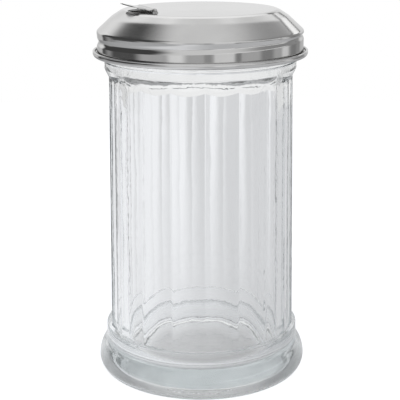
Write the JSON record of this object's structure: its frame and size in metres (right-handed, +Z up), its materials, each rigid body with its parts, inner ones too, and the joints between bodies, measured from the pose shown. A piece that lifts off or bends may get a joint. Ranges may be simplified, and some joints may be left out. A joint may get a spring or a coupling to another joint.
{
  "type": "sugar pourer",
  "caption": "Fluted clear glass sugar pourer jar with a screw-on polished steel lid and a hinged pouring flap.",
  "frame": {"origin": "on the jar's axis, in the plane the foot stands on", "axes": "+Z up along the jar's axis; the pouring flap points along -X from its hinge, and the hinge pin lies along Y"},
  "size_m": [0.0808, 0.0808, 0.1428],
  "materials": {
    "glass": "clear pressed glass with a faint blue-green tint",
    "polished_steel": "mirror-polished stainless steel",
    "steel_wire": "bright drawn wire",
    "seal": "matt off-white food-grade rubber"
  },
  "bodies": {
    "jar": {"glass_jar": "glass"},
    "seal": {"lid_seal": "seal"},
    "lid": {"lid": "polished_steel", "hinge_pin": "steel_wire"},
    "flap": {"pour_flap": "polished_steel"}
  },
  "joints": [
    {"name": "lid_lift", "type": "slide", "parent": "jar", "child": "seal", "axis": [0, 0, 1], "range_m": [0, 0.0064]},
    {"name": "lid_turn", "type": "hinge", "parent": "seal", "child": "lid", "pos_m": [0, 0, 0.13], "axis": [0, 0, 1], "range_deg": [0, 450]},
    {"name": "flap_hinge", "type": "hinge", "parent": "lid", "child": "flap", "pos_m": [-0.0205, 0, 0.1405], "axis": [0, 1, 0], "range_deg": [-15, 80]}
  ],
  "couplings": [
    {"joint": "lid_lift", "follows": "lid_turn", "m_per_rad": 0.00080851}
  ]
}
